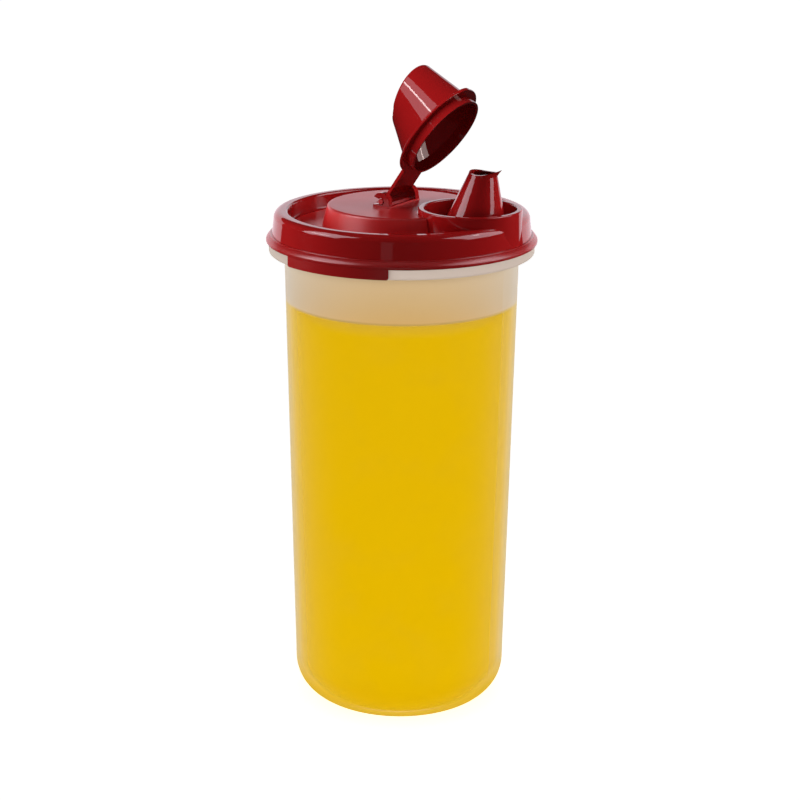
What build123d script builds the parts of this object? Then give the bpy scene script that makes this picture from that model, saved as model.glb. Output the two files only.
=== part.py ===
from build123d import *
import os
from math import cos, radians, sin

# Oil pourer: a frosted bottle with its oil, a press-on lid with a pouring well, and a hinged cap.
# Sizes are millimetres. The bottle's axis is Z, it stands on Z = 0 and the spout pours towards +X.

# Bottle
foot_radius = 44.4  # outer wall carried down to the ground, before the foot is rounded
shoulder_radius = 48.3  # outer wall just under the collar
shoulder_height = 194.6
body_wall = 1.5
foot_rounding = 15.5
floor_thickness = 2.2
recess_radius = 25.0
recess_depth = 0.8
collar_width = 6.3  # out from the shoulder
collar_height = 4.05
collar_rounding = 0.7
neck_wall = 2.4
neck_height = 9.55
neck_rounding = 0.9

# Oil
oil_level = 174.5
oil_gap = 0.15

# Clearances between the bottle, the lid and the cap
neck_gap = 0.35
seat_gap = 0.2
plug_gap = 0.4
ear_gap = 0.3
pin_gap = 0.4

# Lid
lid_wall = 1.4
wall_flare = 0.75  # outside of the lid's wall, from the crest down to the step
step_width = 0.8
step_height = 2.25  # bead's outer edge to the step's top
step_edge = 0.5  # upright edge of the step
step_rounding = 0.25
bead_width = 1.6
bead_height = 1.15
bead_rounding = 0.5
bead_bulge = 0.2  # of the bead's flank, outwards and upwards
bead_bulge_rounding = 4.0
crest_rounding = 1.0  # of the crest's inner edge
floor_drop = 6.5  # crest to the sunken floor
floor_rounding = 1.0
plug_skirt_length = 4.5
plateau_rise = 2.4  # crest to the raised plateau
plateau_radius = 30.4
plateau_flare = 2.3
plateau_rounding = 1.2

# Pull tab under the bead
tab_thickness = 0.8
tab_gap = 0.2  # to the collar
tab_inset = 0.1  # from the bead's outside
tab_depth = 4.05
tab_start = -112.5  # degrees round the axis from +X
tab_sweep = 49.2
tab_rounding = 1.0

# Pouring well
well_radius = 18.7
well_wall = 2.3
well_rise = 2.0  # plateau to the well's rim
well_depth = 11.5
well_floor = 1.3
well_rounding = 0.5
vent_radius = 1.3
vent_inset = 2.7  # from the well's wall, on the hinge's side

# Spout
spout_wall = 1.2
spout_gutter = 4.0  # between the well's wall and the spout's foot
spout_foot_lean = 1.0  # towards the pouring side, from the well's centre
spout_throat_radius = 6.1
spout_throat_lean = 5.35
spout_throat_height = 13.5  # above the well's rim
lip_wall = 0.9
lip_radius = 5.25
lip_lean = 6.15
lip_height = 16.9
beak_radius = 1.1
beak_reach = 14.3  # tip from the well's centre
lip_dip_radius = 17.0
lip_dip_lean = 5.8
lip_dip_height = 14.5

# Hinge
hinge_reach = 35.2  # hinge axis to the well's centre
pin_rise = 2.4  # plateau to the hinge axis
pin_radius = 1.1
pin_overhang = 0.2
ear_spacing = 20.5
ear_thickness = 2.8
ear_radius = 3.7
ear_foot_length = 4.3
clip_throat = 2.0  # of the ear's mouth, at the pin
clip_mouth = 3.4  # of the ear's mouth, at its outside
mouth_tilt = -4.0  # degrees, tips the mouth upwards
rib_width = 1.0
rib_height = 0.8
rib_offset = 3.6

# Cap
open_angle = 55.3  # degrees from closed, as it stands here
cap_wall = 1.0
flange_overhang = 0.1  # beyond the well's rim
flange_thickness = 1.1
flange_rounding = 0.35
plug_depth = 3.7
roof_taper = 4.2  # base of the dome to its roof, in radius
roof_shift = 3.3  # roof's middle towards the pouring side, from the cap's middle
roof_rise = 16.6  # flange to the roof's middle
roof_tilt = 18.7  # degrees, the pouring side higher
roof_rounding = 0.8
roof_wall = 1.1
thumb_reach = 0.4
thumb_thickness = 1.2
thumb_radius = 12.0
groove_width = 5.2  # across the roof
groove_depth = 0.6
groove_offset = 3.9  # from the roof's middle
arm_thickness = 1.3
barrel_radius = 1.6

# Levels and places that follow from the sizes above
collar_radius = shoulder_radius + collar_width
collar_top = shoulder_height + collar_height
neck_top = collar_top + neck_height
bead_radius = collar_radius + tab_gap + tab_thickness + tab_inset
step_radius = bead_radius - bead_width
wall_radius = step_radius - step_width
lid_bottom = collar_top + seat_gap
bead_top = lid_bottom + bead_height
step_top = bead_top + step_height
flank_rise = step_height - step_edge
flank_radius = bead_radius - bead_width / 2 + bead_bulge  # middle of the bead's flank
flank_level = bead_top + flank_rise / 2 + bead_bulge
arch_inner = neck_wall / 2 + neck_gap
arch_outer = arch_inner + lid_wall
neck_radius = wall_radius - wall_flare - arch_outer  # middle of the neck's wall
arch_level = neck_top + neck_gap
crest = arch_level + arch_outer
floor_top = crest - floor_drop
floor_bottom = floor_top - lid_wall
plateau_top = crest + plateau_rise
plateau_foot_radius = plateau_radius + plateau_flare
well_top = plateau_top + well_rise
well_bottom = well_top - well_depth
well_outer = well_radius + well_wall
well_x = wall_radius - well_outer
vent_x = well_x - well_radius + vent_inset
spout_foot_radius = well_radius - spout_gutter
hinge_x = well_x - hinge_reach
hinge_level = plateau_top + pin_rise
bore_radius = neck_radius - arch_outer  # inside of the lid's channel, round the sunken floor
arm_width = ear_spacing - ear_thickness - 2 * ear_gap
skirt_bottom = floor_bottom - plug_skirt_length
well_shelf = arch_level + well_floor
throat_level = well_top + spout_throat_height
lip_level = well_top + lip_height
flange_bottom = well_top + seat_gap - hinge_level  # from here on, above the hinge axis when closed
flange_top = flange_bottom + flange_thickness
roof_level = flange_top + roof_rise
flange_radius = well_outer + flange_overhang
plug_radius = well_radius - plug_gap
roof_radius = plug_radius - roof_taper
cut_margin = 5.0  # how far a cut runs past the face it opens

os.makedirs("parts", exist_ok=True)


def wall_at(level):
    """Outer radius of the bottle's tapered body at a height."""
    return foot_radius + (shoulder_radius - foot_radius) * level / shoulder_height


def radial_plane(angle):
    """Upright plane through the bottle's axis, its X pointing outwards at an angle from +X."""
    turn = radians(angle)
    return Plane(origin=(0, 0, 0), x_dir=(cos(turn), sin(turn), 0), z_dir=(sin(turn), -cos(turn), 0))


def swung_plane(origin, angle):
    """Plane across the cap, swung open by an angle, its X pointing away from the hinge."""
    turn = radians(angle)
    return Plane(origin=origin, x_dir=(cos(turn), 0, sin(turn)), z_dir=(-sin(turn), 0, cos(turn)))


# Bottle: a tapered body with a round foot, a collar that carries the lid, and a straight neck
with BuildPart() as bottle:
    with BuildSketch(Plane.XZ) as bottle_outside:
        with BuildLine():
            FilletPolyline(
                (0, 0),
                (foot_radius, 0),
                (shoulder_radius, shoulder_height),
                (collar_radius, shoulder_height),
                (collar_radius, collar_top),
                (neck_radius + neck_wall / 2, collar_top),
                (neck_radius + neck_wall / 2, neck_top),
                (neck_radius, neck_top),
                (0, neck_top),
                radius=(0, foot_rounding, 0, collar_rounding, 0, 0, neck_rounding, 0, 0),
                close=True,
            )
        make_face()
    revolve(axis=Axis.Z)
    with BuildSketch(Plane.XZ) as bottle_inside:
        with BuildLine():
            FilletPolyline(
                (0, floor_thickness),
                (wall_at(floor_thickness) - body_wall, floor_thickness),
                (wall_at(shoulder_height) - body_wall, shoulder_height),
                (neck_radius - neck_wall / 2, collar_top),
                (neck_radius - neck_wall / 2, neck_top + cut_margin),
                (0, neck_top + cut_margin),
                radius=(0, foot_rounding - body_wall, 0, 0, 0, 0),
                close=True,
            )
        make_face()
    revolve(axis=Axis.Z, mode=Mode.SUBTRACT)
    with BuildSketch(Plane.XY):
        Circle(recess_radius)
    extrude(amount=recess_depth, mode=Mode.SUBTRACT)
bottle.part.label = "bottle"
export_step(bottle.part, "parts/bottle.step")

# Oil that fills the bottle to its level
with BuildPart() as oil:
    with BuildSketch(Plane.XZ) as oil_section:
        with BuildLine():
            FilletPolyline(
                (0, floor_thickness + oil_gap),
                (wall_at(floor_thickness) - body_wall - oil_gap, floor_thickness + oil_gap),
                (wall_at(oil_level) - body_wall - oil_gap, oil_level),
                (0, oil_level),
                radius=(0, foot_rounding - body_wall - oil_gap, 0, 0),
                close=True,
            )
        make_face()
    revolve(axis=Axis.Z)
oil.part.label = "oil"
export_step(oil.part, "parts/oil.step")

# Channel over the neck, up to the level where its top turns round
with BuildPart() as channel:
    with BuildSketch(Plane.XZ):
        Polygon(
            (neck_radius + arch_inner, arch_level),
            (wall_radius - lid_wall, step_top),
            (wall_radius - lid_wall, lid_bottom),
            (neck_radius - arch_inner, lid_bottom),
            (neck_radius - arch_inner, arch_level),
            align=None,
        )
    revolve(axis=Axis.Z)

# Rest of the lid's inside: the channel's round top, and the space under the floor and the plateau
with BuildPart() as lid_hollow:
    with BuildSketch(Plane.XZ):
        with Locations((neck_radius, arch_level)):
            Circle(arch_inner)
    with BuildSketch(Plane.XZ):
        with BuildLine():
            Polyline(
                (0, lid_bottom),
                (neck_radius - arch_inner, lid_bottom),
                (neck_radius - arch_inner, skirt_bottom),
                (bore_radius, skirt_bottom),
                (bore_radius, floor_bottom),
                (plateau_foot_radius - lid_wall, floor_bottom),
                (plateau_radius - lid_wall, plateau_top - lid_wall),
                (0, plateau_top - lid_wall),
                (0, lid_bottom),
            )
        make_face()
    revolve(axis=Axis.Z)

# Pull tab, an arc of the bead that hangs over the collar
with BuildPart() as tab:
    with BuildSketch(radial_plane(tab_start)):
        with Locations((bead_radius - tab_inset - tab_thickness, lid_bottom - tab_depth)):
            Rectangle(tab_thickness, tab_depth + bead_height / 2, align=(Align.MIN, Align.MIN))
    revolve(axis=Axis.Z, revolution_arc=tab_sweep)
    tab_corners = tab.edges().group_by(Axis.Z)[0].filter_by(GeomType.LINE)
    fillet(tab_corners, tab_rounding)

# Lid: bead, wall and rounded crest outside, a channel over the neck, a sunken floor and a plateau
with BuildPart() as lid:
    with BuildSketch(Plane.XZ):
        with BuildLine():
            FilletPolyline(
                (0, lid_bottom),
                (bead_radius, lid_bottom),
                (bead_radius, bead_top),
                (flank_radius, flank_level),
                (step_radius, bead_top + flank_rise),
                (step_radius, step_top),
                (wall_radius, step_top),
                (neck_radius + arch_outer, arch_level),
                radius=(bead_rounding, bead_rounding, bead_bulge_rounding, 0, step_rounding, 0),
            )
            CenterArc((neck_radius, arch_level), arch_outer, 0, 90)
            FilletPolyline(
                (neck_radius, crest),
                (bore_radius, crest),
                (bore_radius, floor_top),
                (plateau_foot_radius, floor_top),
                (plateau_radius, plateau_top),
                (0, plateau_top),
                (0, lid_bottom),
                radius=(crest_rounding, floor_rounding, 0, plateau_rounding, 0),
            )
        make_face()
    revolve(axis=Axis.Z)
    add(lid_hollow.part, mode=Mode.SUBTRACT)

    # Round boss that holds the well, fading into the lid's wall at its outer side
    with BuildSketch(Plane.XY.offset(well_bottom - well_floor)):
        with Locations((well_x, 0)):
            Circle(well_outer)
    extrude(amount=well_depth + well_floor)

    add(channel.part, mode=Mode.SUBTRACT)

    # The well: a shallow floor over the channel, a deep one inside it
    with BuildSketch(Plane.XY.offset(well_shelf)):
        with Locations((well_x, 0)):
            Circle(well_radius)
    extrude(amount=well_top - well_shelf, mode=Mode.SUBTRACT)
    with BuildSketch(Plane.XY.offset(well_bottom)):
        with Locations((well_x, 0)):
            Circle(well_radius)
        Circle(bore_radius, mode=Mode.INTERSECT)
    extrude(amount=well_depth, mode=Mode.SUBTRACT)
    fillet(lid.faces().sort_by(Axis.Z)[-1].edges(), well_rounding)

    # Spout: a leaning cone with a drawn-out lip, open right through
    with BuildSketch(Plane.XY.offset(well_bottom - well_floor)):
        with Locations((well_x + spout_foot_lean, 0)):
            Circle(spout_foot_radius)
    with BuildSketch(Plane.XY.offset(throat_level)):
        with Locations((well_x + spout_throat_lean, 0)):
            Circle(spout_throat_radius)
    loft(ruled=True)
    with BuildSketch(Plane.XY.offset(throat_level)):
        with Locations((well_x + spout_throat_lean, 0)):
            Circle(spout_throat_radius)
    with BuildSketch(Plane.XY.offset(lip_level)):
        with Locations((well_x + lip_lean, 0)):
            Circle(lip_radius)
        with Locations((well_x + beak_reach - beak_radius, 0)):
            Circle(beak_radius)
        make_hull()
    loft(ruled=True)
    with BuildSketch(Plane.XY.offset(well_bottom - well_floor)):
        with Locations((well_x + spout_foot_lean, 0)):
            Circle(spout_foot_radius - spout_wall)
    with BuildSketch(Plane.XY.offset(throat_level)):
        with Locations((well_x + spout_throat_lean, 0)):
            Circle(spout_throat_radius - spout_wall)
    loft(ruled=True, mode=Mode.SUBTRACT)
    with BuildSketch(Plane.XY.offset(throat_level)):
        with Locations((well_x + spout_throat_lean, 0)):
            Circle(spout_throat_radius - spout_wall)
    with BuildSketch(Plane.XY.offset(lip_level)):
        with Locations((well_x + lip_lean, 0)):
            Circle(lip_radius - lip_wall)
        with Locations((well_x + beak_reach - beak_radius, 0)):
            Circle(beak_radius - lip_wall)
        make_hull()
    loft(ruled=True, mode=Mode.SUBTRACT)
    with BuildSketch(Plane.XZ):
        with Locations((well_x + lip_dip_lean, well_top + lip_dip_height + lip_dip_radius)):
            Circle(lip_dip_radius)
    extrude(amount=well_outer, both=True, mode=Mode.SUBTRACT)

    # Vent in the well's floor
    with BuildSketch(Plane.XY.offset(well_bottom)):
        with Locations((vent_x, 0)):
            Circle(vent_radius)
    extrude(amount=-well_floor, mode=Mode.SUBTRACT)

    # Two clip ears on the plateau, their mouths facing away from the well
    for side in (-1, 1):
        ear_plane = Plane(
            origin=(hinge_x, side * ear_spacing / 2, hinge_level), x_dir=(1, 0, 0), z_dir=(0, -1, 0)
        )
        with BuildSketch(ear_plane):
            Circle(ear_radius)
            with BuildLine():
                Polyline(
                    (-ear_radius, 0),
                    (ear_radius, 0),
                    (ear_foot_length, -pin_rise - lid_wall / 2),
                    (-ear_radius, -pin_rise - lid_wall / 2),
                    (-ear_radius, 0),
                )
            make_face()
            Circle(pin_radius + pin_gap, mode=Mode.SUBTRACT)
            with Locations(Rotation(0, 0, mouth_tilt)):
                Polygon(
                    (0, clip_throat / 2),
                    (-pin_radius, clip_throat / 2),
                    (-ear_radius, clip_mouth / 2),
                    (-2 * ear_radius, clip_mouth / 2),
                    (-2 * ear_radius, -clip_mouth / 2),
                    (-ear_radius, -clip_mouth / 2),
                    (-pin_radius, -clip_throat / 2),
                    (0, -clip_throat / 2),
                    align=None,
                    mode=Mode.SUBTRACT,
                )
        extrude(amount=ear_thickness / 2, both=True)
    with BuildSketch(Plane.XY.offset(plateau_top - lid_wall / 2)):
        with Locations((hinge_x + rib_offset, 0)):
            Rectangle(rib_width, ear_spacing)
    extrude(amount=rib_height + lid_wall / 2)
    add(tab.part)
lid.part.label = "lid"
export_step(lid.part, "parts/lid.step")

# Cap: drawn on a plane through the hinge axis that has swung open, X from the hinge to the cap's middle
cap_plane = swung_plane((hinge_x, 0, hinge_level), open_angle)
roof_middle = cap_plane.from_local_coords((hinge_reach + roof_shift, 0, roof_level))
roof_plane = swung_plane(roof_middle, open_angle + roof_tilt)
hinge_plane = Plane(origin=cap_plane.origin, x_dir=(1, 0, 0), z_dir=(0, -1, 0))
with BuildPart() as flip_cap:
    # Flange, and the thumb lip on its pouring side
    with BuildSketch(cap_plane.offset(flange_bottom)):
        with Locations((hinge_reach, 0)):
            Circle(flange_radius)
    extrude(amount=flange_thickness)
    fillet(flip_cap.edges().filter_by(GeomType.CIRCLE), flange_rounding)
    with BuildSketch(cap_plane.offset(flange_bottom)):
        with Locations((hinge_reach + flange_radius + thumb_reach - thumb_radius, 0)):
            Circle(thumb_radius)
    extrude(amount=thumb_thickness)

    # Plug ring below the flange
    with BuildSketch(cap_plane.offset(flange_bottom)):
        with Locations((hinge_reach, 0)):
            Circle(plug_radius)
    extrude(amount=-plug_depth)

    # Dome: its roof leans back to the hinge, and its far side is nearly upright to clear the spout
    with BuildSketch(cap_plane.offset(flange_top)):
        with Locations((hinge_reach, 0)):
            Circle(plug_radius)
    with BuildSketch(roof_plane):
        Circle(roof_radius)
    loft(ruled=True)
    roof_edge = flip_cap.edges().filter_by(GeomType.CIRCLE).sort_by(Axis(cap_plane.origin, cap_plane.z_dir))[-1]
    fillet(roof_edge, roof_rounding)

    # Shallow groove across the roof
    with BuildSketch(roof_plane):
        with Locations((-groove_offset, 0)):
            Rectangle(groove_width, 2 * roof_radius)
    extrude(amount=-groove_depth, mode=Mode.SUBTRACT)

    # Arm, hinge barrel and trunnion pins
    with BuildSketch(cap_plane.offset(flange_bottom)):
        Rectangle(hinge_reach - plug_radius + cap_wall, arm_width, align=(Align.MIN, Align.CENTER))
    extrude(amount=arm_thickness)
    with BuildSketch(hinge_plane):
        Circle(barrel_radius)
    extrude(amount=arm_width / 2, both=True)
    with BuildSketch(hinge_plane):
        Circle(pin_radius)
    extrude(amount=(ear_spacing + ear_thickness) / 2 + pin_overhang, both=True)

    # Hollow inside of the plug ring and the dome
    with BuildSketch(cap_plane.offset(flange_bottom - plug_depth)):
        with Locations((hinge_reach, 0)):
            Circle(plug_radius - cap_wall)
    extrude(amount=plug_depth + flange_thickness, mode=Mode.SUBTRACT)
    with BuildSketch(cap_plane.offset(flange_top)):
        with Locations((hinge_reach, 0)):
            Circle(plug_radius - cap_wall)
    with BuildSketch(roof_plane.offset(-roof_wall)):
        Circle(roof_radius - cap_wall)
    loft(ruled=True, mode=Mode.SUBTRACT)
flip_cap.part.label = "flip_cap"
export_step(flip_cap.part, "parts/flip_cap.step")
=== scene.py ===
import math

import bpy
from mathutils import Matrix, Vector

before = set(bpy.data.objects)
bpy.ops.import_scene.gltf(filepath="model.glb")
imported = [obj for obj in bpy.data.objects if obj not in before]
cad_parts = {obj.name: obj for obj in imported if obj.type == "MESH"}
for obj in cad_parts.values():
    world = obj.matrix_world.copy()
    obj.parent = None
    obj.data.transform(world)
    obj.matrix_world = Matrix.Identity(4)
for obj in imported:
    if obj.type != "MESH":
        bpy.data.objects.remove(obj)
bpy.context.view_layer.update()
scene = bpy.context.scene

# Camera: where the photographer stood, in metres and radians, turned about the bottle's axis
VIEW_TURN = math.radians(32.0)
CAMERA_BACK = 0.845494
CAMERA_HEIGHT = 0.384080
CAMERA_SIDE = -0.000325
CAMERA_PITCH = 0.291858
CAMERA_ROLL = 0.0061748
LENS_PER_SENSOR = 2100.0 / 800.0
SENSOR_WIDTH = 36.0

# Studio: what the panels are aimed at, their tints, and how bright the world is to each kind of ray
LID_MIDDLE = Vector((0.0, 0.0, 0.21))
BOTTLE_MIDDLE = Vector((0.0, 0.0, 0.1))
WHITE = (1.0, 1.0, 1.0)
COOL = (1.0, 0.95, 1.03)
WARM = (1.0, 0.80, 0.76)
WARM_WHITE = (1.0, 0.985, 0.96)
WORLD_SEEN = 1.0
WORLD_FILL = 0.05
WORLD_SHINE = 0.02

# The bottle's sizes in metres
OIL_LEVEL = 0.1745
COLLAR_LEVEL = 0.1946
SHOULDER_RADIUS = 0.0483
FOOT_RADIUS = 0.0444
FOOT_ROUNDING = 0.0155
BODY_WALL = 0.0015

# Where the lid's finish changes, in metres: each pair is where a change starts and where it ends
CREST_INSIDE = (0.0450, 0.0458)
WELL_X = 0.0323
WELL_OUTSIDE = (0.0211, 0.0215)
HINGE_X = -0.0029
HINGE_POCKET = (0.0075, 0.0085)
SATIN_TOP = (0.2143, 0.2147)
PLATEAU_EDGE = (0.2127, 0.2137)
BEAD_TOP = (0.2020, 0.2024)

# Where the bottle's look changes, in metres of height
FOOT_VEIL = (0.012, 0.020)
FOOT_COLOUR = (0.008, 0.022)
MENISCUS = (OIL_LEVEL - 0.0060, OIL_LEVEL)
OIL_EDGE = (OIL_LEVEL - 0.0006, OIL_LEVEL + 0.0014)
COLLAR_START = (COLLAR_LEVEL - 0.0004, COLLAR_LEVEL + 0.0004)
# Painted shade: a darker band along the foot of the collar
COLLAR_PAINTED_SHADE = (COLLAR_LEVEL + 0.0004, COLLAR_LEVEL + 0.0010)
SKIN_BLUR = 0.0002

# Where its look changes towards its outline: 0 faces the eye, 1 is edge on
EDGE_BLEND = 0.35
WET_RIM = (0.50, 0.90)
DRY_SIDE = (0.02, 0.62)

# Red plastic: its colours, the sunken floor's and the plateau's painted lighter as painted light,
# its roughness, what duller places add to that, and its relief
RED_DEEP = (0.300, 0.0064, 0.0072)
RED_BRIGHT = (0.335, 0.0078, 0.0084)
# Painted light: the sunken floor's and the plateau's reds are painted lighter than the glossy red
RED_SATIN_PAINTED_LIGHT = (0.600, 0.0150, 0.0160)
RED_PLATEAU_PAINTED_LIGHT = (0.440, 0.0120, 0.0130)
GLOSSY = (0.03, 0.06)
SATIN_ADDS = 0.26
POCKET_ADDS = 0.40
BEAD_ADDS = 0.20
PLASTIC_IOR = 1.5
ORANGE_PEEL = 0.08
SATIN_GRAIN = 0.8
RELIEF = 0.00002

# Oil: its colours at the foot and at the top, the top one darker as painted shade, their drift, and
# its roughness
OIL_LOW = (0.760, 0.472, 0.0)
OIL_HIGH_PAINTED_SHADE = (0.728, 0.455, 0.002)
OIL_DRIFT = 0.03
OIL_ROUGHNESS = (0.50, 0.60)

# Frosted wall: the colours of its veil, where oil wets it, above the oil and on the collar, with a
# painted shade band along the collar's foot
WET_FOOT_COLOUR = (0.710, 0.450, 0.025)
WET_MIDDLE_COLOUR = (0.700, 0.492, 0.126)
WET_RIM_COLOUR = (0.612, 0.487, 0.250)
DRY_MIDDLE_LOW = (0.655, 0.412, 0.150)
DRY_MIDDLE_HIGH = (0.645, 0.475, 0.270)
DRY_SIDE_LOW = (0.640, 0.530, 0.400)
DRY_SIDE_HIGH = (0.640, 0.560, 0.460)
COLLAR_PAINTED_SHADE_COLOUR = (0.530, 0.430, 0.365)
COLLAR_COLOUR = (0.610, 0.505, 0.435)

# Frosted wall: how dense its veil is, how much of it glows through, and its finish
FOOT_GAIN = 2.3
WALL_GAIN = 1.65
VEIL_POWER = 3.3
VEIL_MOST = 0.97
MENISCUS_VEIL = 0.20
DRY_VEIL = 0.94
VEIL_DRIFT = 0.01
GLOW_SHARE = 0.12
CLEAR_TINT = (0.99, 0.99, 0.985)
FROSTED = (0.42, 0.50)
FROST_STRENGTH = 0.6
FROST_SPECULAR = 0.03

# Floor: its paper, the glow that keeps it even, and the reach of a painted warm glow of light under
# the foot
FLOOR_REACH = 12.0
PAPER_LOW = (0.90, 0.90, 0.89)
PAPER_HIGH = (0.92, 0.92, 0.91)
# Painted light: the warm glow under the foot
PAINTED_GLOW_UNDER_FOOT = (1.0, 0.96, 0.86)
PAPER_GLOW = 0.99
PAPER_ROUGHNESS = 0.9
PAINTED_GLOW_REACH = (0.030, 0.050)

# The part of a noise texture's range that is spread over a whole range of values
NOISE_RANGE = (0.3, 0.7)


def turned(v):
    """A direction given as the camera sees it (x right, y away, z up), in the part's own axes."""
    return Matrix.Rotation(VIEW_TURN, 3, "Z") @ Vector(v)


def direction(azimuth, elevation):
    """Unit vector to a place in the studio: azimuth 0 is the camera's side, 90 its right."""
    a, e = math.radians(azimuth), math.radians(elevation)
    return turned((math.sin(a) * math.cos(e), -math.cos(a) * math.cos(e), math.sin(e)))


# Camera
camera_data = bpy.data.cameras.new("camera")
camera_data.sensor_width = SENSOR_WIDTH
camera_data.lens = LENS_PER_SENSOR * SENSOR_WIDTH
camera = bpy.data.objects.new("camera", camera_data)
scene.collection.objects.link(camera)
ahead = turned((0.0, math.cos(CAMERA_PITCH), -math.sin(CAMERA_PITCH)))
level_up = turned((0.0, math.sin(CAMERA_PITCH), math.cos(CAMERA_PITCH)))
level_right = turned((1.0, 0.0, 0.0))
right = math.cos(CAMERA_ROLL) * level_right + math.sin(CAMERA_ROLL) * level_up
up = math.cos(CAMERA_ROLL) * level_up - math.sin(CAMERA_ROLL) * level_right
stand = Matrix((right, up, -ahead)).transposed().to_4x4()
stand.translation = turned((CAMERA_SIDE, -CAMERA_BACK, CAMERA_HEIGHT))
camera.matrix_world = stand
scene.camera = camera
scene.view_settings.view_transform = "Standard"


# Studio: a panel lights only what it is aimed at, as flags and barn doors would have it
def gathered(name, *nodes):
    """Collection of CAD nodes, for the panels that light them alone."""
    collection = bpy.data.collections.new(name)
    for node in nodes:
        collection.objects.link(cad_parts[node])
    return collection


def aim_panels(lit, middle, panels):
    """Soft panels of even radiance round a middle, lighting one collection as fill, shine or both.

    Each panel has a name, azimuth, elevation, distance, width, height, radiance, use and tint.
    """
    for name, azimuth, elevation, distance, width, height, radiance, use, tint in panels:
        light = bpy.data.lights.new(name, "AREA")
        light.shape = "RECTANGLE"
        light.size = width
        light.size_y = height
        light.energy = radiance * math.pi * width * height
        light.color = tint
        lamp = bpy.data.objects.new(name, light)
        scene.collection.objects.link(lamp)
        towards = direction(azimuth, elevation)
        lamp.location = middle + distance * towards
        lamp.rotation_euler = towards.to_track_quat("Z", "Y").to_euler()
        lamp.visible_camera = False
        lamp.visible_glossy = use != "fill"
        lamp.visible_diffuse = use != "shine"
        lamp.light_linking.receiver_collection = lit


lid_alone = gathered("lid_alone", "lid")
cap_alone = gathered("cap_alone", "flip_cap")
bottle_parts = gathered("bottle_parts", "bottle", "oil")

# The lid: broad fill from both sides, a little from the front, above and the table, and its shines
aim_panels(lid_alone, LID_MIDDLE, (
    ("lid_fill_left", -103, 10, 1.0, 0.90, 0.80, 7.0, "fill", WHITE),
    ("lid_fill_right", 103, 10, 1.0, 0.90, 0.80, 6.4, "fill", WHITE),
    ("lid_fill_front", 0, -6, 1.0, 0.60, 0.40, 2.6, "fill", WHITE),
    ("lid_fill_top", 0, 80, 1.0, 0.60, 0.60, 1.9, "fill", WHITE),
    ("lid_fill_low", -10, -55, 0.22, 0.30, 0.30, 0.15, "fill", WHITE),
    ("lid_shine_left", -78, 34, 1.0, 0.70, 0.80, 4.2, "shine", COOL),
    ("lid_shine_right", 79, 30, 1.0, 0.82, 0.98, 3.6, "shine", COOL),
    ("lid_core_left", -81, 29, 0.97, 0.34, 0.05, 14.0, "shine", WHITE),
    ("lid_core_right", 83, 43, 0.97, 0.12, 0.05, 14.0, "shine", WHITE),
    ("lid_patch", -12.5, 2, 1.0, 0.17, 0.30, 0.20, "shine", COOL),
    ("lid_sweep", 180, 2, 1.5, 3.4, 1.02, 1.08, "shine", COOL),
))

# The cap: broad fill over its dome, a narrow panel with a bright tube in it, and the same inside
aim_panels(cap_alone, LID_MIDDLE, (
    ("cap_fill", -35, 45, 1.0, 0.95, 0.95, 4.8, "fill", WHITE),
    ("cap_fill_low", 40, 0, 1.0, 0.80, 0.80, 0.6, "fill", WHITE),
    ("cap_fill_back", 170, 25, 1.0, 0.90, 0.90, 2.2, "fill", WHITE),
    ("cap_shine", -45, 56, 1.0, 0.40, 0.80, 2.0, "shine", COOL),
    ("cap_core", -43, 58, 0.97, 0.10, 0.06, 15.0, "shine", WHITE),
    ("cap_shine_inside", 88, 14, 1.0, 0.62, 0.50, 4.2, "shine", WARM),
    ("cap_core_inside", 89, 14, 0.97, 0.04, 0.45, 12.0, "shine", WARM),
    ("cap_sweep", 180, 4, 1.5, 3.4, 0.85, 0.75, "shine", COOL),
))

# The bottle: an even tent of six panels, and one below for its foot
aim_panels(bottle_parts, BOTTLE_MIDDLE, (
    *((f"tent_{side}", 60 * side, 0, 1.2, 1.386, 1.6, 1.58, "both", WHITE) for side in range(6)),
    ("tent_foot", 0, -90, 0.9, 0.8, 0.8, 2.4, "fill", WHITE),
))

# World: white to the camera, a faint warm fill to matt surfaces and a fainter one to glossy ones
world = bpy.data.worlds.new("studio")
scene.world = world
world.use_nodes = True
sky = world.node_tree
sky.nodes.clear()


def backdrop(colour, strength):
    """Shader of one even backdrop."""
    node = sky.nodes.new("ShaderNodeBackground")
    node.inputs["Color"].default_value = (*colour, 1.0)
    node.inputs["Strength"].default_value = strength
    return node.outputs[0]


def chosen(test, otherwise, passed):
    """One backdrop for the rays that pass a test of the light path, another for the others."""
    node = sky.nodes.new("ShaderNodeMixShader")
    for source, socket in zip((test, otherwise, passed), node.inputs):
        sky.links.new(source, socket)
    return node.outputs[0]


rays = sky.nodes.new("ShaderNodeLightPath").outputs
lighting = chosen(
    rays["Is Glossy Ray"], backdrop(WARM_WHITE, WORLD_FILL), backdrop(WHITE, WORLD_SHINE)
)
surroundings = chosen(rays["Is Camera Ray"], lighting, backdrop(WHITE, WORLD_SEEN))
sky.links.new(surroundings, sky.nodes.new("ShaderNodeOutputWorld").inputs["Surface"])


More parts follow.
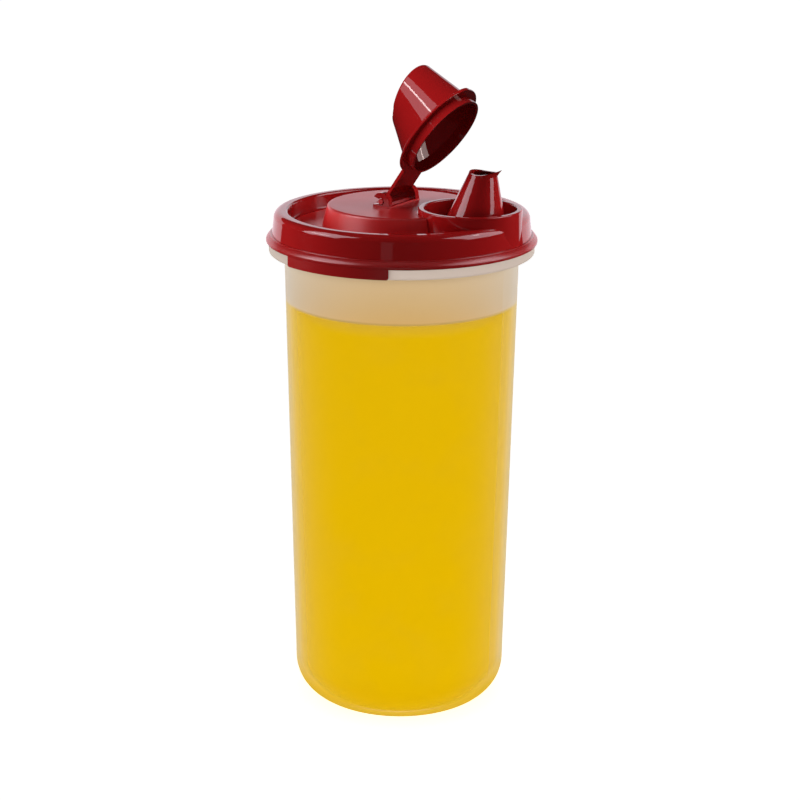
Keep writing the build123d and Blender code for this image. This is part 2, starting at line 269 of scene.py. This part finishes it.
# Materials
class Surface:
    """A new node material, with its Principled shader and short calls to add and join nodes."""

    def __init__(self, name):
        self.material = bpy.data.materials.new(name)
        self.material.use_nodes = True
        self.tree = self.material.node_tree
        self.shader = self.tree.nodes["Principled BSDF"]
        self.out = self.tree.nodes["Material Output"]
        self.coordinates = self.add("ShaderNodeTexCoord").outputs["Object"]

    def add(self, kind, **settings):
        """A new node with its settings."""
        node = self.tree.nodes.new(kind)
        for key, value in settings.items():
            setattr(node, key, value)
        return node

    def feed(self, value, socket):
        """Joins a socket to another node's output, or sets it to a number or colour."""
        if isinstance(value, bpy.types.NodeSocket):
            self.tree.links.new(value, socket)
        else:
            socket.default_value = (*value, 1.0) if isinstance(value, tuple) else value

    def shade(self, values):
        """Feeds the Principled shader's sockets by their names."""
        for name, value in values.items():
            self.feed(value, self.shader.inputs[name])

    def height(self):
        """Height above the table."""
        node = self.add("ShaderNodeSeparateXYZ")
        self.feed(self.coordinates, node.inputs[0])
        return node.outputs["Z"]

    def plan(self):
        """The place as seen from above, at height 0."""
        node = self.add("ShaderNodeVectorMath", operation="MULTIPLY")
        self.feed(self.coordinates, node.inputs[0])
        node.inputs[1].default_value = (1.0, 1.0, 0.0)
        return node.outputs["Vector"]

    def distance(self, place, x=0.0):
        """Distance of a place from the point (x, 0, 0)."""
        node = self.add("ShaderNodeVectorMath", operation="DISTANCE")
        self.feed(place, node.inputs[0])
        node.inputs[1].default_value = (x, 0.0, 0.0)
        return node.outputs["Value"]

    def noise(self, scale, detail=2.0):
        """Soft noise over the part."""
        node = self.add("ShaderNodeTexNoise")
        node.inputs["Scale"].default_value = scale
        node.inputs["Detail"].default_value = detail
        self.feed(self.coordinates, node.inputs["Vector"])
        return node.outputs["Fac"]

    def spread(self, source, window, ends=(0.0, 1.0), shape="LINEAR"):
        """Maps a window of the source's values onto two end values, held outside the window."""
        node = self.add("ShaderNodeMapRange", interpolation_type=shape)
        for key, value in zip(("From Min", "From Max", "To Min", "To Max"), (*window, *ends)):
            node.inputs[key].default_value = value
        self.feed(source, node.inputs["Value"])
        return node.outputs["Result"]

    def rise(self, source, window, ends=(0.0, 1.0)):
        """The same, with a soft start and end."""
        return self.spread(source, window, ends, "SMOOTHSTEP")

    def fall(self, source, window):
        """A soft step from 1 down to 0."""
        return self.rise(source, window, (1.0, 0.0))

    def math(self, operation, first, second):
        """One sum on two values."""
        node = self.add("ShaderNodeMath", operation=operation)
        self.feed(first, node.inputs[0])
        self.feed(second, node.inputs[1])
        return node.outputs["Value"]

    def plus(self, first, second):
        return self.math("ADD", first, second)

    def times(self, first, second):
        return self.math("MULTIPLY", first, second)

    def blend(self, share, first, second, numbers=False):
        """Mix of two colours or numbers: the second by its share, the first for the rest."""
        node = self.add("ShaderNodeMix", data_type="FLOAT" if numbers else "RGBA")
        kind = "VALUE" if numbers else "RGBA"
        self.feed(share, node.inputs["Factor"])
        for key, value in (("A", first), ("B", second)):
            self.feed(value, next(s for s in node.inputs if s.name == key and s.type == kind))
        return next(s for s in node.outputs if s.type == kind)

    def layer(self, share, first, second):
        """Mix of two shaders: the second by its share, the first for the rest."""
        node = self.add("ShaderNodeMixShader")
        for value, socket in zip((share, first, second), node.inputs):
            self.feed(value, socket)
        return node.outputs[0]

    def bump(self, height, strength=1.0):
        """Normal of a fine relief."""
        node = self.add("ShaderNodeBump")
        node.inputs["Strength"].default_value = strength
        node.inputs["Distance"].default_value = RELIEF
        self.feed(height, node.inputs["Height"])
        return node.outputs["Normal"]


def red_plastic(name, with_satin):
    """Red moulding with faint flow shading and orange peel, glossy all over or with duller places.

    Satin are the sunken floor and the plateau, more so in the pocket under the hinge, and both are
    painted lighter in colour as painted light; the bead is dull; the crest, the wall, the well and
    the spout stay glossy.
    """
    s = Surface(name)
    colour = s.blend(s.spread(s.noise(scale=38.0, detail=3.0), NOISE_RANGE), RED_DEEP, RED_BRIGHT)
    rough = s.spread(s.noise(scale=90.0, detail=3.0), NOISE_RANGE, GLOSSY)
    relief = s.times(s.noise(scale=160.0), ORANGE_PEEL)
    if with_satin:
        height, plan = s.height(), s.plan()
        inside = s.fall(s.distance(plan), CREST_INSIDE)
        beside = s.rise(s.distance(plan, WELL_X), WELL_OUTSIDE)
        satin_and_painted_light = s.times(s.times(inside, beside), s.fall(height, SATIN_TOP))
        # Painted light: the sunken floor and the plateau get a lighter painted red
        satin_painted_light = s.blend(s.rise(height, PLATEAU_EDGE), RED_SATIN_PAINTED_LIGHT, RED_PLATEAU_PAINTED_LIGHT)
        colour = s.blend(satin_and_painted_light, colour, satin_painted_light)
        pocket = s.times(s.fall(s.distance(plan, HINGE_X), HINGE_POCKET), satin_and_painted_light)
        bead = s.fall(height, BEAD_TOP)
        for share, adds in ((satin_and_painted_light, SATIN_ADDS), (pocket, POCKET_ADDS), (bead, BEAD_ADDS)):
            rough = s.plus(rough, s.times(share, adds))
        grain = s.times(s.noise(scale=2600.0), SATIN_GRAIN)
        relief = s.plus(relief, s.times(satin_and_painted_light, grain))
    s.shade({
        "Base Color": colour,
        "Roughness": rough,
        "Normal": s.bump(relief),
        "IOR": PLASTIC_IOR,
    })
    return s.material


def yellow_oil():
    """Deep yellow oil, seen as an even glow through the frosted wall, with painted shade making it
    a little darker towards the top.
    """
    s = Surface("oil_yellow")
    drift = s.times(s.noise(scale=22.0), OIL_DRIFT)
    # Painted shade: the oil darkens a little towards its top
    share = s.plus(s.spread(s.height(), (0.0, OIL_LEVEL)), drift)
    s.shade({
        "Base Color": s.blend(share, OIL_LOW, OIL_HIGH_PAINTED_SHADE),
        "Roughness": s.spread(s.noise(scale=60.0), NOISE_RANGE, OIL_ROUGHNESS),
        "Specular IOR Level": 0.0,
    })
    return s.material


def outer_skin(s, height):
    """1 on the outside of the bottle's body and foot and 0 on its inside, told apart by depth.

    The depth is the distance from a profile that lies the foot's rounding under the outside.
    """
    radii = (FOOT_RADIUS - FOOT_ROUNDING, SHOULDER_RADIUS - FOOT_ROUNDING)
    outward = s.math("SUBTRACT", s.distance(s.plan()), s.spread(height, (0.0, COLLAR_LEVEL), radii))
    downward = s.math("SUBTRACT", FOOT_ROUNDING, height)
    corner = s.add("ShaderNodeCombineXYZ")
    s.feed(s.math("MAXIMUM", outward, 0.0), corner.inputs["X"])
    s.feed(s.math("MAXIMUM", downward, 0.0), corner.inputs["Y"])
    half = FOOT_ROUNDING - BODY_WALL / 2
    return s.spread(s.distance(corner.outputs[0]), (half - SKIN_BLUR, half + SKIN_BLUR))


def frosted_wall():
    """Milky polypropylene: golden where oil wets it from inside, a beige veil above the oil."""
    s = Surface("wall_frosted")
    height = s.height()
    haze = s.noise(scale=55.0, detail=3.0)
    facing = s.add("ShaderNodeLayerWeight")
    facing.inputs["Blend"].default_value = EDGE_BLEND
    edge = facing.outputs["Facing"]
    dry = s.rise(height, OIL_EDGE)

    # How much of the wall is veil
    gain = s.rise(height, FOOT_VEIL, (FOOT_GAIN, WALL_GAIN))
    veil = s.math("MINIMUM", s.math("POWER", s.times(edge, gain), VEIL_POWER), VEIL_MOST)
    meniscus = s.rise(height, MENISCUS, (0.0, MENISCUS_VEIL))
    wet_share = s.times(s.math("MAXIMUM", veil, meniscus), outer_skin(s, height))
    even_share = s.blend(dry, wet_share, DRY_VEIL, numbers=True)
    share = s.plus(even_share, s.spread(haze, NOISE_RANGE, (-VEIL_DRIFT, VEIL_DRIFT)))

    # The veil's colour
    wet_side = s.blend(s.rise(edge, WET_RIM), WET_MIDDLE_COLOUR, WET_RIM_COLOUR)
    wet = s.blend(s.rise(height, FOOT_COLOUR), WET_FOOT_COLOUR, wet_side)
    high = s.spread(height, (OIL_LEVEL, COLLAR_LEVEL))
    dry_middle = s.blend(high, DRY_MIDDLE_LOW, DRY_MIDDLE_HIGH)
    dry_side = s.blend(high, DRY_SIDE_LOW, DRY_SIDE_HIGH)
    dry_wall = s.blend(s.spread(edge, DRY_SIDE), dry_middle, dry_side)
    # Painted shade: the foot of the collar is painted darker
    collar = s.blend(s.rise(height, COLLAR_PAINTED_SHADE), COLLAR_PAINTED_SHADE_COLOUR, COLLAR_COLOUR)
    colour = s.blend(dry, wet, s.blend(s.rise(height, COLLAR_START), dry_wall, collar))

    # The veil over a clear skin
    s.shade({
        "Base Color": colour,
        "Roughness": s.spread(haze, NOISE_RANGE, FROSTED),
        "Normal": s.bump(s.noise(scale=900.0), FROST_STRENGTH),
        "Specular IOR Level": FROST_SPECULAR,
    })
    glow = s.add("ShaderNodeBsdfTranslucent")
    s.feed(colour, glow.inputs["Color"])
    clear = s.add("ShaderNodeBsdfTransparent")
    s.feed(CLEAR_TINT, clear.inputs["Color"])
    milky = s.layer(GLOW_SHARE, s.shader.outputs[0], glow.outputs[0])
    s.feed(s.layer(share, clear.outputs[0], milky), s.out.inputs["Surface"])
    return s.material


def pale_floor():
    """Plain white paper, lit so evenly that it shows no shadow, with a painted warm glow under the
    bottle.
    """
    s = Surface("floor_paper")
    # Painted light: a warm glow painted into the emission colour round the foot
    painted_glow_share = s.fall(s.distance(s.coordinates), PAINTED_GLOW_REACH)
    s.shade({
        "Base Color": s.blend(s.noise(scale=3.0), PAPER_LOW, PAPER_HIGH),
        "Emission Color": s.blend(painted_glow_share, WHITE, PAINTED_GLOW_UNDER_FOOT),
        "Emission Strength": PAPER_GLOW,
        "Roughness": PAPER_ROUGHNESS,
        "Specular IOR Level": 0.0,
    })
    return s.material


def dress(node, material):
    """Gives a CAD node its material."""
    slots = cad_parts[node].data.materials
    slots.clear()
    slots.append(material)


dress("bottle", frosted_wall())
dress("oil", yellow_oil())
dress("lid", red_plastic("lid_red", with_satin=True))
dress("flip_cap", red_plastic("cap_red", with_satin=False))

# Floor
corners = [(x * FLOOR_REACH, y * FLOOR_REACH, 0.0) for x, y in ((-1, -1), (1, -1), (1, 1), (-1, 1))]
floor_mesh = bpy.data.meshes.new("floor")
floor_mesh.from_pydata(corners, [], [(0, 1, 2, 3)])
floor_mesh.materials.append(pale_floor())
floor = bpy.data.objects.new("floor", floor_mesh)
scene.collection.objects.link(floor)
floor.visible_glossy = False
floor.visible_diffuse = False
floor.visible_shadow = False
